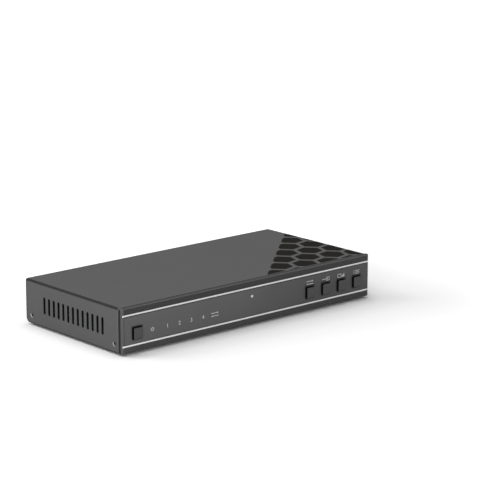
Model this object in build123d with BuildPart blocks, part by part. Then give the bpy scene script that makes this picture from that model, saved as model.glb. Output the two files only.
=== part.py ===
from build123d import *
import os

# Video switch box: a low sheet-steel box with a machined front panel, five sprung push buttons,
# six lit marks, a remote-control sensor, two circuit boards inside and the sockets on its rear wall.
# Millimetres. +Z is up, the front faces -Y and X runs along the width. The origin is the middle of
# the footprint, on the surface that the feet stand on.

# Body
body_width = 220.0
body_depth = 105.0
body_height = 30.0
fit_gap = 0.1
screw_gap = 0.05
cut_overrun = 2.0

# Feet
foot_height = 1.5
foot_radius = 5.0
foot_edge_bevel = 0.4
foot_inset = 14.0

# Top cover, one bent sheet with a row of vent slots in each side
cover_sheet = 1.0
cover_bend_radius = 1.6
cover_rear_corner_radius = 3.2
cover_seam = 0.3
slot_count = 13
slot_pitch = 5.28
slot_width = 2.4
slot_length = 11.85
slot_centre_height = 14.9

# Countersunk screws that hold the cover to the chassis
cover_screw_height = 5.8
cover_screw_front_inset = 8.3
cover_screw_rear_inset = 6.7
cover_screw_radius = 1.25
cover_screw_head_radius = 2.0
cover_screw_length = 4.5

# Chassis, one bent tray with low side flanges
chassis_sheet = 1.0
chassis_bend_radius = 2.6
side_flange_height = 8.2

# Front panel: a thick plate whose centre pad stands proud between two bright facets
panel_thickness = 4.0
panel_corner_radius = 1.6
panel_edge_chamfer = 0.3
pad_rise = 0.4
pad_height = 19.2
facet_height = 0.9
film_thickness = 0.25
film_margin = 0.2
film_corner_radius = 0.6

# Screws that hold the front panel from inside
panel_screw_radius = 1.25
panel_screw_head_radius = 2.25
panel_screw_head_height = 1.6
panel_screw_depth = 2.2
panel_screw_side_inset = 20.0
panel_screw_columns = 2
panel_screw_edge = 5.0

# Push buttons
button_width = 7.1
button_height = 7.4
button_corner_radius = 0.5
button_edge_radius = 0.3
button_proud = 1.6
button_gap = 0.4
button_centre_height = 12.6
button_travel = 0.5
button_pitch = 14.85
power_button_inset = 11.9
function_button_inset = 12.5
function_button_count = 4
cap_lip = 0.9
cap_flange = 0.9
cap_wall = 1.3
cap_front_wall = 2.0
cap_post_width = 2.8

# Push switches under the buttons
plunger_radius = 1.75
plunger_proud = 1.4
plunger_depth = 0.8
plunger_chamfer = 0.2
switch_size = 6.0
switch_height = 3.5
switch_bottom_gap = 0.3
switch_chamfer = 0.3

# Row of lit marks, with a clear light guide and a lamp behind each
power_mark_inset = 24.4
first_mark_inset = 36.9
mark_pitch = 10.05
mark_count = 5
mark_height = 12.7
guide_radius = 1.3
guide_collar_width = 4.2
guide_collar = 0.8
lamp_gap = 0.3
lamp_width = 2.0
lamp_height = 1.3
lamp_depth = 0.8

# Remote-control sensor behind its lens
lens_height = 19.2
lens_radius = 0.95
lens_proud = 0.2
lens_collar_radius = 2.2
receiver_width = 5.0
receiver_height = 6.0
receiver_depth = 2.4
receiver_dome_radius = 1.9

# Front board, upright behind the panel
front_board_thickness = 1.6
front_board_side_gap = 6.0
front_board_bottom = 7.0
front_board_height = 17.0
front_standoff_side_inset = 35.0
front_standoff_count = 4
front_standoff_height = 13.3

# Main board, flat above the chassis floor
board_thickness = 1.6
board_side_gap = 8.0
board_front_gap = 5.0
board_rear_gap = 0.6
board_corner_chamfer = 2.0
board_screw_side_inset = 10.0
board_screw_columns = 3
board_screw_front_inset = 6.0
board_screw_rear_inset = 20.0
standoff_height = 6.0
standoff_across_flats = 5.0
board_screw_radius = 1.5
board_screw_head_radius = 2.75
board_screw_head_height = 2.0
board_screw_depth = 4.0
standoff_bore_spare = 0.5
insulation_thickness = 0.25
insulation_margin = 4.0
insulation_clearance = 1.5

# Link between the boards: a header whose pins reach through the front board
link_x = 30.0
link_pin_count = 8
link_pin_pitch = 2.54
link_pin_size = 0.64
link_pin_tail = 0.8
link_pin_bend = 0.7
link_pin_height = 1.8
link_header_inset = 1.0
link_header_depth = 2.5
link_header_height = 3.6
link_leg_gap = 1.2

# Video sockets
video_mouth_width = 14.0
video_mouth_height = 4.55
video_floor_width = 10.4
video_shoulder = 1.7
video_wall = 0.4
video_depth = 12.0
video_proud = 0.6
video_tongue_width = 11.9
video_tongue_thickness = 1.2
video_tongue_recess = 1.0
video_block_depth = 2.8
video_wall_gap = 0.3
video_output_inset = 58.0
video_output_to_input = 32.0
video_input_pitch = 28.0
video_input_count = 4

# Power inlet
inlet_inset = 14.0
inlet_width = 9.0
inlet_height = 11.0
inlet_depth = 13.0
inlet_axis_height = 6.5
inlet_shoulder_radius = 2.0
inlet_nose_radius = 4.0
inlet_proud = 1.0
inlet_bore_radius = 3.15
inlet_bore_depth = 9.5
inlet_pin_radius = 1.0
inlet_pin_recess = 0.8
inlet_pin_root = 1.5

# Audio socket
audio_inset = 34.0
audio_width = 7.0
audio_height = 6.0
audio_depth = 11.0
audio_nose_radius = 2.9
audio_proud = 1.6
audio_bore_radius = 1.8
audio_bore_depth = 12.0
audio_edge_radius = 0.4

# Chips and other parts on the main board
main_chip_size = 16.0
main_chip_height = 1.4
main_chip_x = -22.0
main_chip_y = 2.0
pad_size = 14.0
pad_thickness = 0.5
sink_size = 28.0
sink_base = 2.0
sink_fin_height = 8.0
sink_fin_width = 1.1
sink_fin_count = 8
control_chip_size = 10.0
control_chip_height = 1.2
control_chip_inset = 40.0
control_chip_y = -6.0
buffer_chip_size = 6.0
buffer_chip_height = 0.9
buffer_chip_gap = 0.7
chip_chamfer = 0.3
can_radius = 4.0
can_height = 11.0
can_edge_bevel = 0.5
can_crimp_height = 1.6
can_crimp_depth = 0.35
can_pitch = 12.0
can_count = 3
can_inset = 26.0
can_y = 10.0
coil_size = 8.0
coil_height = 4.0
coil_corner_chamfer = 2.0
coil_cap_radius = 2.6
coil_cap_height = 0.3
coil_inset = 58.0
coil_y = 6.0
crystal_length = 11.0
crystal_width = 4.6
crystal_height = 3.2
crystal_rim = 0.5
crystal_rim_height = 0.5
crystal_inset = 40.0
crystal_y = 12.0

# Planes and levels that follow from the sizes above
rear_proud = max(video_proud, inlet_proud, audio_proud)
overall_depth = button_proud + body_depth + rear_proud
front_y = button_proud - overall_depth / 2
rear_y = front_y + body_depth
middle_y = (front_y + rear_y) / 2
pad_y = front_y + film_thickness
band_y = pad_y + pad_rise
panel_back_y = front_y + panel_thickness
wall_back_y = panel_back_y + chassis_sheet
cover_front_y = panel_back_y + cover_seam
rear_inner_y = rear_y - chassis_sheet
right_x = body_width / 2
base_z = foot_height
top_z = base_z + body_height
middle_z = base_z + body_height / 2
floor_z = base_z + chassis_sheet
wall_top_z = top_z - cover_sheet - fit_gap
chassis_half_width = right_x - cover_sheet - fit_gap

cap_front_y = front_y - button_proud
cap_flange_y = wall_back_y + fit_gap
cap_rear_y = cap_flange_y + cap_flange
switch_front_y = cap_rear_y + plunger_proud
front_board_y = switch_front_y + switch_height
front_board_back_y = front_board_y + front_board_thickness
button_z = base_z + button_centre_height
power_button_x = power_button_inset - right_x
last_button_x = right_x - function_button_inset
function_button_xs = [
    last_button_x - button_pitch * n for n in reversed(range(function_button_count))
]
button_xs = [power_button_x] + function_button_xs

mark_z = base_z + mark_height
power_mark_x = power_mark_inset - right_x
mark_xs = [power_mark_x] + [
    first_mark_inset - right_x + mark_pitch * n for n in range(mark_count)
]
lamp_front_y = front_board_y - lamp_depth
lens_z = base_z + lens_height
panel_screw_span = body_height - 2 * panel_screw_edge
panel_screw_pitch = (body_width - 2 * panel_screw_side_inset) / (panel_screw_columns - 1)
front_standoff_pitch = (body_width - 2 * front_standoff_side_inset) / (front_standoff_count - 1)
front_standoff_z = base_z + front_board_bottom + front_standoff_height
front_board_half_width = right_x - front_board_side_gap
front_board_z = base_z + front_board_bottom

board_z = floor_z + standoff_height
board_top_z = board_z + board_thickness
board_front_y = front_board_back_y + board_front_gap
board_rear_y = rear_inner_y - board_rear_gap
board_depth = board_rear_y - board_front_y
board_width = body_width - 2 * board_side_gap
board_middle_y = (board_front_y + board_rear_y) / 2
board_screw_pitch = (board_width - 2 * board_screw_side_inset) / (board_screw_columns - 1)
board_screw_row_pitch = board_depth - board_screw_front_inset - board_screw_rear_inset
board_screw_middle_y = board_front_y + board_screw_front_inset + board_screw_row_pitch / 2

video_mouth_y = rear_y + video_proud
video_back_y = video_mouth_y - video_depth
video_z = board_top_z + video_wall + video_mouth_height / 2
video_output_x = right_x - video_output_inset
first_input_x = video_output_x - video_output_to_input
video_input_xs = [first_input_x - video_input_pitch * n for n in range(video_input_count)]
video_xs = [video_output_x] + video_input_xs
inlet_x = right_x - inlet_inset
inlet_z = board_top_z + inlet_axis_height
inlet_mouth_y = rear_y + inlet_proud
audio_x = right_x - audio_inset
audio_z = board_top_z + audio_height / 2
audio_mouth_y = rear_y + audio_proud
control_chip_x = control_chip_inset - right_x
crystal_x = crystal_inset - right_x
can_x = right_x - can_inset
coil_x = right_x - coil_inset

parts = {}


def keep(builder, node):
    """Label a finished piece and hold it for writing."""
    builder.part.label = node
    parts[node] = builder.part


def upright(y):
    """A plane across the box at depth y: x along the width, y up, facing the front."""
    return Plane.XZ.offset(-y)


def side_places(offset_x):
    """The four cover-screw places, on planes that face out from the left and right sides."""
    screw_ys = [front_y + cover_screw_front_inset, rear_y - cover_screw_rear_inset]
    return [
        Plane(origin=(side * offset_x, y, base_z + cover_screw_height), z_dir=(side, 0, 0))
        for side in (-1, 1)
        for y in screw_ys
    ]


def button_windows(clearance):
    """The outlines of all five buttons, grown by a clearance."""
    with Locations(*[(x, button_z) for x in button_xs]):
        RectangleRounded(
            button_width + 2 * clearance,
            button_height + 2 * clearance,
            button_corner_radius + clearance,
        )


def video_outline():
    """The stepped outline of a socket's mouth, centred on the sketch's own place."""
    Polygon(
        (-video_mouth_width / 2, video_mouth_height / 2),
        (video_mouth_width / 2, video_mouth_height / 2),
        (video_mouth_width / 2, video_shoulder - video_mouth_height / 2),
        (video_floor_width / 2, -video_mouth_height / 2),
        (-video_floor_width / 2, -video_mouth_height / 2),
        (-video_mouth_width / 2, video_shoulder - video_mouth_height / 2),
        align=None,
    )


def make_cheese_screw(head_radius, head_height, shank_radius, shank_length):
    """A screw that points down, with the underside of its cylindrical head at the origin."""
    with BuildPart() as screw:
        with BuildSketch(Plane.XY):
            Circle(head_radius)
        extrude(amount=head_height)
        with BuildSketch(Plane.XY):
            Circle(shank_radius)
        extrude(amount=-shank_length)
    return screw.part


def make_standoff(height):
    """A hexagonal spacer that stands on the origin, with a blind threaded hole in its top."""
    with BuildPart() as standoff:
        with BuildSketch(Plane.XY):
            RegularPolygon(standoff_across_flats / 2, side_count=6, major_radius=False)
        extrude(amount=height)
        with BuildSketch(Plane.XY.offset(height)):
            Circle(board_screw_radius + screw_gap)
        hole_depth = min(board_screw_depth - board_thickness + standoff_bore_spare, height)
        extrude(amount=-hole_depth, mode=Mode.SUBTRACT)
    return standoff.part


def make_chip(size, height):
    """A square chip package that stands on the origin, with bevelled upper edges."""
    with BuildPart() as chip:
        with BuildSketch(Plane.XY):
            Rectangle(size, size)
        extrude(amount=height)
        chamfer(chip.edges().group_by(Axis.Z)[-1], length=min(chip_chamfer, height / 2))
    return chip.part


# Rubber feet: four turned discs under the corners
with BuildPart() as rubber_feet:
    with BuildSketch(Plane.XY):
        with Locations((0, middle_y)):
            with GridLocations(body_width - 2 * foot_inset, body_depth - 2 * foot_inset, 2, 2):
                Circle(foot_radius)
    extrude(amount=foot_height)
    chamfer(rubber_feet.edges().group_by(Axis.Z)[0], length=min(foot_edge_bevel, foot_height / 2))
keep(rubber_feet, "rubber_feet")

# Chassis: the tray's bent outline runs across the whole width, then the side flanges stand on it
with BuildPart() as bottom_chassis:
    with BuildSketch(Plane.YZ):
        with BuildLine():
            FilletPolyline(
                (panel_back_y, wall_top_z),
                (panel_back_y, base_z),
                (rear_y, base_z),
                (rear_y, wall_top_z),
                radius=chassis_bend_radius,
            )
            offset(amount=chassis_sheet, side=Side.LEFT, kind=Kind.INTERSECTION)
        make_face()
    extrude(amount=chassis_half_width, both=True)
    for side in (-1, 1):
        with BuildSketch(Plane.YZ.offset(side * chassis_half_width)):
            with Locations((panel_back_y + chassis_bend_radius, base_z)):
                Rectangle(
                    body_depth - panel_thickness - 2 * chassis_bend_radius,
                    side_flange_height,
                    align=(Align.MIN, Align.MIN),
                )
        extrude(amount=-side * chassis_sheet)
    with BuildSketch(upright(panel_back_y)):
        button_windows(button_gap)
        with Locations(*[(x, mark_z) for x in mark_xs]):
            Circle(guide_radius + fit_gap)
        with Locations((0, lens_z)):
            Circle(lens_radius + fit_gap)
        with Locations((0, middle_z)):
            with GridLocations(panel_screw_pitch, panel_screw_span, panel_screw_columns, 2):
                Circle(panel_screw_radius + fit_gap)
    extrude(amount=-(chassis_sheet + fit_gap), mode=Mode.SUBTRACT)
    with BuildSketch(upright(rear_y + cut_overrun)):
        with Locations(*[(x, video_z) for x in video_xs]):
            video_outline()
        offset(amount=video_wall + video_wall_gap, kind=Kind.INTERSECTION)
        with Locations((inlet_x, inlet_z)):
            Circle(inlet_nose_radius + fit_gap)
        with Locations((audio_x, audio_z)):
            Circle(audio_nose_radius + fit_gap)
    extrude(amount=chassis_sheet + 2 * cut_overrun, mode=Mode.SUBTRACT)
    with Locations(*side_places(chassis_half_width)):
        Hole(cover_screw_radius + screw_gap, depth=chassis_sheet + fit_gap)
    wall_corners = bottom_chassis.edges().filter_by(Axis.Y).group_by(Axis.Z)[-1]
    fillet(wall_corners, radius=cover_bend_radius)
keep(bottom_chassis, "bottom_chassis")

# Top cover: one sheet bent over the top and both sides
with BuildPart() as top_cover:
    with BuildSketch(upright(cover_front_y)):
        with BuildLine():
            FilletPolyline(
                (-right_x, base_z),
                (-right_x, top_z),
                (right_x, top_z),
                (right_x, base_z),
                radius=cover_bend_radius,
            )
            offset(amount=cover_sheet, side=Side.RIGHT, kind=Kind.INTERSECTION)
        make_face()
    extrude(amount=-(rear_y - cover_front_y))
    with BuildSketch(Plane.YZ):
        with Locations((middle_y, base_z + slot_centre_height)):
            with GridLocations(slot_pitch, slot_pitch, slot_count, 1):
                SlotOverall(slot_length, slot_width, rotation=90)
    extrude(amount=right_x + cut_overrun, both=True, mode=Mode.SUBTRACT)
    lower_rear_corners = top_cover.edges().filter_by(Axis.X).group_by(Axis.Z)[0].group_by(Axis.Y)[-1]
    fillet(lower_rear_corners, radius=cover_rear_corner_radius)
    with Locations(*side_places(right_x)):
        CounterSinkHole(
            cover_screw_radius + fit_gap,
            cover_screw_head_radius + fit_gap,
            depth=cover_sheet + fit_gap,
            counter_sink_angle=90,
        )
keep(top_cover, "top_cover")

# Cover screws: flat heads sunk level with the sides
with BuildPart() as cover_screw:
    with BuildSketch(Plane.XZ):
        with BuildLine():
            Polyline(
                (0, 0),
                (cover_screw_head_radius, 0),
                (cover_screw_radius, cover_screw_radius - cover_screw_head_radius),
                (cover_screw_radius, -cover_screw_length),
                (0, -cover_screw_length),
                close=True,
            )
        make_face()
    revolve(axis=Axis.Z)
with BuildPart() as cover_screws:
    with Locations(*side_places(right_x)):
        add(cover_screw.part)
keep(cover_screws, "cover_screws")

# Front panel: the profile with its proud pad and facets, cut to the rounded outline seen from above
with BuildPart() as front_panel:
    with BuildSketch(Plane.YZ):
        with BuildLine():
            pad_low_z = middle_z - pad_height / 2
            pad_high_z = middle_z + pad_height / 2
            Polyline(
                (panel_back_y, base_z),
                (band_y + panel_edge_chamfer, base_z),
                (band_y, base_z + panel_edge_chamfer),
                (band_y, pad_low_z - facet_height),
                (pad_y, pad_low_z),
                (pad_y, pad_high_z),
                (band_y, pad_high_z + facet_height),
                (band_y, top_z - panel_edge_chamfer),
                (band_y + panel_edge_chamfer, top_z),
                (panel_back_y, top_z),
                close=True,
            )
        make_face()
    extrude(amount=right_x, both=True)
    with BuildSketch(Plane.XY.offset(base_z)) as panel_outline:
        with Locations((0, pad_y)):
            Rectangle(body_width, panel_back_y - pad_y, align=(Align.CENTER, Align.MIN))
        front_corners = panel_outline.vertices().group_by(Axis.Y)[0]
        fillet(front_corners, radius=panel_corner_radius)
    extrude(amount=body_height, mode=Mode.INTERSECT)
    with BuildSketch(upright(panel_back_y)):
        button_windows(button_gap)
        with Locations(*[(x, mark_z) for x in mark_xs]):
            Circle(guide_radius + fit_gap)
        with Locations((0, lens_z)):
            Circle(lens_radius + fit_gap)
    extrude(amount=panel_thickness + cut_overrun, mode=Mode.SUBTRACT)
    with BuildSketch(upright(panel_back_y)):
        with Locations((0, middle_z)):
            with GridLocations(panel_screw_pitch, panel_screw_span, panel_screw_columns, 2):
                Circle(panel_screw_radius + screw_gap)
    extrude(amount=panel_screw_depth + fit_gap, mode=Mode.SUBTRACT)
keep(front_panel, "front_panel")

# Front film: the thin printed sheet on the pad
with BuildPart() as front_film:
    with BuildSketch(upright(pad_y)):
        with Locations((0, middle_z)):
            RectangleRounded(
                body_width - 2 * (panel_corner_radius + film_margin),
                pad_height - 2 * film_margin,
                film_corner_radius,
            )
        with BuildSketch(mode=Mode.SUBTRACT):
            button_windows(button_gap)
            with Locations((0, lens_z)):
                Circle(lens_radius + fit_gap)
    extrude(amount=film_thickness)
keep(front_film, "front_film")

# Panel screws, driven from inside the chassis into the panel's blind holes
panel_screw = make_cheese_screw(
    panel_screw_head_radius,
    panel_screw_head_height,
    panel_screw_radius,
    panel_screw_depth + chassis_sheet,
)
with BuildPart() as panel_screws:
    with Locations(Plane(origin=(0, wall_back_y, middle_z), x_dir=(1, 0, 0), z_dir=(0, 1, 0))):
        with GridLocations(panel_screw_pitch, panel_screw_span, panel_screw_columns, 2):
            add(panel_screw)
keep(panel_screws, "panel_screws")


# Push buttons: a moulded cap with a retaining lip behind the chassis wall and a post over its switch
def make_button(x, node):
    with BuildPart() as cap:
        with BuildSketch(upright(cap_front_y)):
            with Locations((x, button_z)):
                RectangleRounded(button_width, button_height, button_corner_radius)
        extrude(amount=-(cap_rear_y - cap_front_y))
        fillet(cap.faces().sort_by(Axis.Y)[0].edges(), radius=button_edge_radius)
        with BuildSketch(upright(cap_flange_y)):
            with Locations((x, button_z)):
                Rectangle(button_width + 2 * cap_lip, button_height + 2 * cap_lip)
        extrude(amount=-cap_flange)
        cavity_depth = cap_rear_y - cap_front_y - cap_front_wall
        with BuildSketch(upright(cap_rear_y)):
            with Locations((x, button_z)):
                Rectangle(button_width - 2 * cap_wall, button_height - 2 * cap_wall)
        extrude(amount=cavity_depth, mode=Mode.SUBTRACT)
        with BuildSketch(upright(cap_rear_y)):
            with Locations((x, button_z)):
                Rectangle(cap_post_width, cap_post_width)
        extrude(amount=cavity_depth)
    keep(cap, node)


# Switch plungers: round studs that the caps push into their switches
def make_plunger(x, node):
    with BuildPart() as plunger:
        with BuildSketch(upright(cap_rear_y)):
            with Locations((x, button_z)):
                Circle(plunger_radius)
        extrude(amount=-(plunger_proud + plunger_depth))
        chamfer(plunger.edges().group_by(Axis.Y)[0], length=plunger_chamfer)
    keep(plunger, node)


make_button(power_button_x, "power_button")
make_plunger(power_button_x, "power_plunger")
for number, button_x in enumerate(function_button_xs, start=1):
    make_button(button_x, f"function_button_{number}")
    make_plunger(button_x, f"function_plunger_{number}")

# Switch bodies, soldered to the front board
with BuildPart() as switch_bodies:
    with BuildSketch(upright(front_board_y)):
        with Locations(*[(x, button_z) for x in button_xs]):
            Rectangle(switch_size, switch_size)
    extrude(amount=switch_height)
    chamfer(switch_bodies.edges().group_by(Axis.Y)[0], length=switch_chamfer)
    with BuildSketch(upright(switch_front_y)):
        with Locations(*[(x, button_z) for x in button_xs]):
            Circle(plunger_radius + fit_gap)
    extrude(amount=-(plunger_depth + button_travel + switch_bottom_gap), mode=Mode.SUBTRACT)
keep(switch_bodies, "switch_bodies")

# Light guides: clear rods with a square collar, from the back of the film to just short of the lamps
guide_rear_y = lamp_front_y - lamp_gap
with BuildPart() as light_guides:
    with BuildSketch(upright(pad_y)):
        with Locations(*[(x, mark_z) for x in mark_xs]):
            Circle(guide_radius)
    extrude(amount=-(guide_rear_y - pad_y))
    with BuildSketch(upright(wall_back_y)):
        with Locations(*[(x, mark_z) for x in mark_xs]):
            Rectangle(guide_collar_width, guide_collar_width)
    extrude(amount=-guide_collar)
keep(light_guides, "light_guides")

# Indicator lamps: surface-mounted, one behind each light guide
with BuildPart() as indicator_lamps:
    with BuildSketch(upright(front_board_y)):
        with Locations(*[(x, mark_z) for x in mark_xs]):
            Rectangle(lamp_width, lamp_height)
    extrude(amount=lamp_depth)
keep(indicator_lamps, "indicator_lamps")

# Sensor lens: a small rod with a domed tip, held by its collar behind the chassis wall
receiver_tip_y = front_board_y - receiver_depth - receiver_dome_radius
with BuildPart() as sensor_lens:
    with BuildSketch(Plane.YZ):
        with BuildLine():
            tip = (front_y - lens_proud, lens_z)
            Line((receiver_tip_y - lamp_gap, lens_z), tip)
            rim = (front_y, lens_z + lens_radius)
            ThreePointArc(
                tip,
                (front_y - lens_proud * 3 / 4, lens_z + lens_radius / 2),
                rim,
            )
            Polyline(
                rim,
                (wall_back_y, lens_z + lens_radius),
                (wall_back_y, lens_z + lens_collar_radius),
                (receiver_tip_y - lamp_gap, lens_z + lens_collar_radius),
                (receiver_tip_y - lamp_gap, lens_z),
            )
        make_face()
    revolve(axis=Axis((0, 0, lens_z), (0, 1, 0)))
keep(sensor_lens, "sensor_lens")

# Remote-control receiver: a moulded block with a domed lens, soldered to the front board
with BuildPart() as remote_receiver:
    with BuildSketch(upright(front_board_y)):
        with Locations((0, lens_z)):
            Rectangle(receiver_width, receiver_height)
    extrude(amount=receiver_depth)
    with Locations((0, front_board_y - receiver_depth, lens_z)):
        Sphere(receiver_dome_radius)
    split(bisect_by=upright(front_board_y), keep=Keep.TOP)
keep(remote_receiver, "remote_receiver")

# Front board standoffs, pressed into the chassis wall
front_standoff = make_standoff(front_board_y - wall_back_y)
facing_back = Plane(origin=(0, wall_back_y, front_standoff_z), x_dir=(1, 0, 0), z_dir=(0, 1, 0))
with BuildPart() as front_standoffs:
    with Locations(facing_back):
        with GridLocations(front_standoff_pitch, front_standoff_pitch, front_standoff_count, 1):
            add(front_standoff)
keep(front_standoffs, "front_standoffs")

# Link header and pins between the two boards
link_pin_z = board_top_z + link_pin_height
link_header_y = board_front_y + link_header_inset
link_leg_y = link_header_y + link_header_depth + link_leg_gap
link_tail_y = front_board_y - link_pin_tail
with BuildPart() as link_pin:
    with BuildLine():
        FilletPolyline(
            (0, link_tail_y, link_pin_z),
            (0, link_leg_y, link_pin_z),
            (0, link_leg_y, board_z - link_pin_tail),
            radius=link_pin_bend,
        )
    with BuildSketch(upright(link_tail_y)):
        with Locations((0, link_pin_z)):
            Rectangle(link_pin_size, link_pin_size)
    sweep()
with BuildPart() as link_pins:
    with Locations((link_x, 0, 0)):
        with GridLocations(link_pin_pitch, link_pin_pitch, link_pin_count, 1):
            add(link_pin.part)
keep(link_pins, "link_pins")

with BuildPart() as link_header:
    with BuildSketch(upright(link_header_y)):
        with Locations((link_x, board_top_z)):
            Rectangle(
                link_pin_pitch * link_pin_count,
                link_header_height,
                align=(Align.CENTER, Align.MIN),
            )
        with Locations((link_x, link_pin_z)):
            with GridLocations(link_pin_pitch, link_pin_pitch, link_pin_count, 1):
                Rectangle(
                    link_pin_size + 2 * screw_gap,
                    link_pin_size + 2 * screw_gap,
                    mode=Mode.SUBTRACT,
                )
    extrude(amount=-link_header_depth)
keep(link_header, "link_header")

# Front board
pin_hole_radius = link_pin_size * 3 / 4 + screw_gap
with BuildPart() as front_board:
    with BuildSketch(upright(front_board_back_y)):
        with Locations((0, front_board_z)):
            Rectangle(
                2 * front_board_half_width, front_board_height, align=(Align.CENTER, Align.MIN)
            )
        with Locations((0, front_standoff_z)):
            with GridLocations(
                front_standoff_pitch, front_standoff_pitch, front_standoff_count, 1
            ):
                Circle(board_screw_radius + fit_gap, mode=Mode.SUBTRACT)
        with Locations((link_x, link_pin_z)):
            with GridLocations(link_pin_pitch, link_pin_pitch, link_pin_count, 1):
                Circle(pin_hole_radius, mode=Mode.SUBTRACT)
    extrude(amount=front_board_thickness)
keep(front_board, "front_board")

# Main board standoffs, pressed into the chassis floor
board_standoff = make_standoff(standoff_height)
with BuildPart() as board_standoffs:
    with Locations((0, board_screw_middle_y, floor_z)):
        with GridLocations(board_screw_pitch, board_screw_row_pitch, board_screw_columns, 2):
            add(board_standoff)
keep(board_standoffs, "board_standoffs")

# Insulation sheet on the chassis floor, with clearance holes round the standoffs
with BuildPart() as insulation_sheet:
    with BuildSketch(Plane.XY.offset(floor_z)):
        with Locations((0, board_middle_y)):
            Rectangle(board_width - 2 * insulation_margin, board_depth - 2 * insulation_margin)
        with Locations((0, board_screw_middle_y)):
            with GridLocations(board_screw_pitch, board_screw_row_pitch, board_screw_columns, 2):
                Circle(standoff_across_flats / 2 + insulation_clearance, mode=Mode.SUBTRACT)
    extrude(amount=insulation_thickness)
keep(insulation_sheet, "insulation_sheet")

# Main board
with BuildPart() as main_board:
    with BuildSketch(Plane.XY.offset(board_z)) as main_board_outline:
        with Locations((0, board_middle_y)):
            Rectangle(board_width, board_depth)
        chamfer(main_board_outline.vertices(), length=board_corner_chamfer)
        with Locations((0, board_screw_middle_y)):
            with GridLocations(board_screw_pitch, board_screw_row_pitch, board_screw_columns, 2):
                Circle(board_screw_radius + fit_gap, mode=Mode.SUBTRACT)
        with Locations((link_x, link_leg_y)):
            with GridLocations(link_pin_pitch, link_pin_pitch, link_pin_count, 1):
                Circle(pin_hole_radius, mode=Mode.SUBTRACT)
    extrude(amount=board_thickness)
keep(main_board, "main_board")

# Board screws: the same cheese-head screw holds both boards
board_screw = make_cheese_screw(
    board_screw_head_radius, board_screw_head_height, board_screw_radius, board_screw_depth
)
behind_front_board = facing_back.offset(front_board_back_y - wall_back_y)
with BuildPart() as board_screws:
    with Locations((0, board_screw_middle_y, board_top_z)):
        with GridLocations(board_screw_pitch, board_screw_row_pitch, board_screw_columns, 2):
            add(board_screw)
    with Locations(behind_front_board):
        with GridLocations(front_standoff_pitch, front_standoff_pitch, front_standoff_count, 1):
            add(board_screw)
keep(board_screws, "board_screws")


# Video sockets: a folded metal shell, closed at its inner end
def make_video_shell(x, node):
    with BuildPart() as shell:
        with BuildSketch(Plane(origin=(x, video_back_y, video_z), x_dir=(1, 0, 0), z_dir=(0, -1, 0))):
            video_outline()
            offset(amount=video_wall, kind=Kind.INTERSECTION)
        extrude(amount=-video_depth)
        with BuildSketch(Plane(origin=(x, video_mouth_y, video_z), x_dir=(1, 0, 0), z_dir=(0, -1, 0))):
            video_outline()
        extrude(amount=video_depth - video_wall, mode=Mode.SUBTRACT)
    keep(shell, node)


make_video_shell(video_output_x, "video_output")
for number, input_x in enumerate(video_input_xs, start=1):
    make_video_shell(input_x, f"video_input_{number}")

# Contact blocks: the moulded block and tongue inside each video socket
block_back_y = video_back_y + video_wall
tongue_length = video_depth - video_wall - video_tongue_recess
with BuildPart() as contact_block:
    with BuildSketch(upright(block_back_y)):
        video_outline()
        offset(amount=-screw_gap, kind=Kind.INTERSECTION)
    extrude(amount=-video_block_depth)
    with BuildSketch(upright(block_back_y)):
        Rectangle(video_tongue_width, video_tongue_thickness)
    extrude(amount=-tongue_length)
with BuildPart() as contact_blocks:
    with Locations(*[(x, 0, video_z) for x in video_xs]):
        add(contact_block.part)
keep(contact_blocks, "contact_blocks")

# Power inlet: a moulded block with a round nose through the rear wall, and its centre pin
inlet_face_y = rear_inner_y - fit_gap
with BuildPart() as power_inlet:
    with BuildSketch(upright(inlet_face_y)) as inlet_outline:
        with Locations((inlet_x, board_top_z)):
            Rectangle(inlet_width, inlet_height, align=(Align.CENTER, Align.MIN))
        inlet_shoulders = inlet_outline.vertices().group_by(Axis.Y)[-1]
        fillet(inlet_shoulders, radius=inlet_shoulder_radius)
    extrude(amount=inlet_depth)
    with BuildSketch(upright(inlet_mouth_y)):
        with Locations((inlet_x, inlet_z)):
            Circle(inlet_nose_radius)
    extrude(amount=inlet_mouth_y - inlet_face_y)
    with BuildSketch(upright(inlet_mouth_y)):
        with Locations((inlet_x, inlet_z)):
            Circle(inlet_bore_radius)
    extrude(amount=inlet_bore_depth, mode=Mode.SUBTRACT)
    with BuildSketch(upright(inlet_mouth_y - inlet_bore_depth)):
        with Locations((inlet_x, inlet_z)):
            Circle(inlet_pin_radius + screw_gap)
    extrude(amount=inlet_pin_root, mode=Mode.SUBTRACT)
keep(power_inlet, "power_inlet")

with BuildPart() as inlet_pin:
    with BuildSketch(upright(inlet_mouth_y - inlet_pin_recess)):
        with Locations((inlet_x, inlet_z)):
            Circle(inlet_pin_radius)
    extrude(amount=inlet_bore_depth - inlet_pin_recess + inlet_pin_root)
    chamfer(inlet_pin.edges().group_by(Axis.Y)[-1], length=inlet_pin_radius / 2)
keep(inlet_pin, "inlet_pin")

# Audio socket: a moulded block with a round nose through the rear wall
audio_face_y = rear_inner_y - fit_gap
with BuildPart() as audio_socket:
    with BuildSketch(upright(audio_face_y)):
        with Locations((audio_x, audio_z)):
            RectangleRounded(audio_width, audio_height, audio_edge_radius)
    extrude(amount=audio_depth)
    with BuildSketch(upright(audio_mouth_y)):
        with Locations((audio_x, audio_z)):
            Circle(audio_nose_radius)
    extrude(amount=audio_mouth_y - audio_face_y)
    with BuildSketch(upright(audio_mouth_y)):
        with Locations((audio_x, audio_z)):
            Circle(audio_bore_radius)
    extrude(amount=audio_bore_depth, mode=Mode.SUBTRACT)
keep(audio_socket, "audio_socket")

# Main chip with its thermal pad and finned heat sink
chip_place = (main_chip_x, main_chip_y, board_top_z)
with BuildPart() as main_chip:
    with Locations(chip_place):
        add(make_chip(main_chip_size, main_chip_height))
keep(main_chip, "main_chip")

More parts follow.
